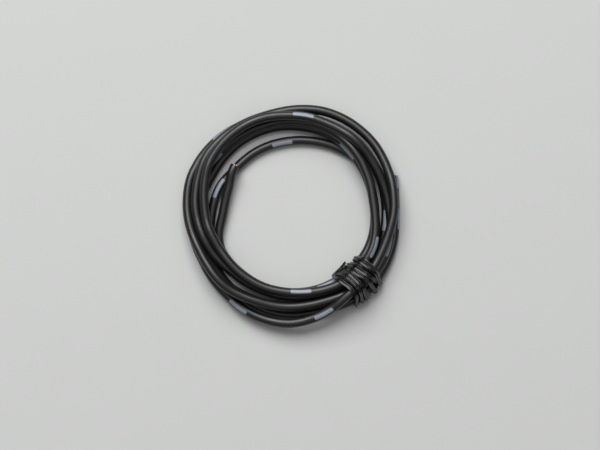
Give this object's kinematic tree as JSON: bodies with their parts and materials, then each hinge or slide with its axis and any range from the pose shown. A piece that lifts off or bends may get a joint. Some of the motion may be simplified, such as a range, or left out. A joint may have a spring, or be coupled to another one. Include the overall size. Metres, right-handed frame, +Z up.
{
  "type": "automotive wire coil",
  "caption": "Short length of insulated single-core automotive wire wound into a flat round coil with both cut ends free, bound at one place by a wrapped twist tie.",
  "frame": {"origin": "middle of the floor under the coil", "axes": "+Z up along the coil's axis, +X and +Y across the coil as in the picture seen from above"},
  "size_m": [0.057, 0.0578, 0.0069],
  "materials": {
    "insulation": "black PVC with a soft satin sheen and pale printed dashes",
    "conductor": "bare stranded copper, freshly cut",
    "tie": "black vinyl over a thin wire core, glossy on its folds"
  },
  "bodies": {
    "root": {"wire_coil": "insulation", "inner_end": "insulation", "inner_conductor": "conductor", "outer_end": "insulation", "outer_conductor": "conductor", "twist_tie": "tie"}
  },
  "joints": []
}
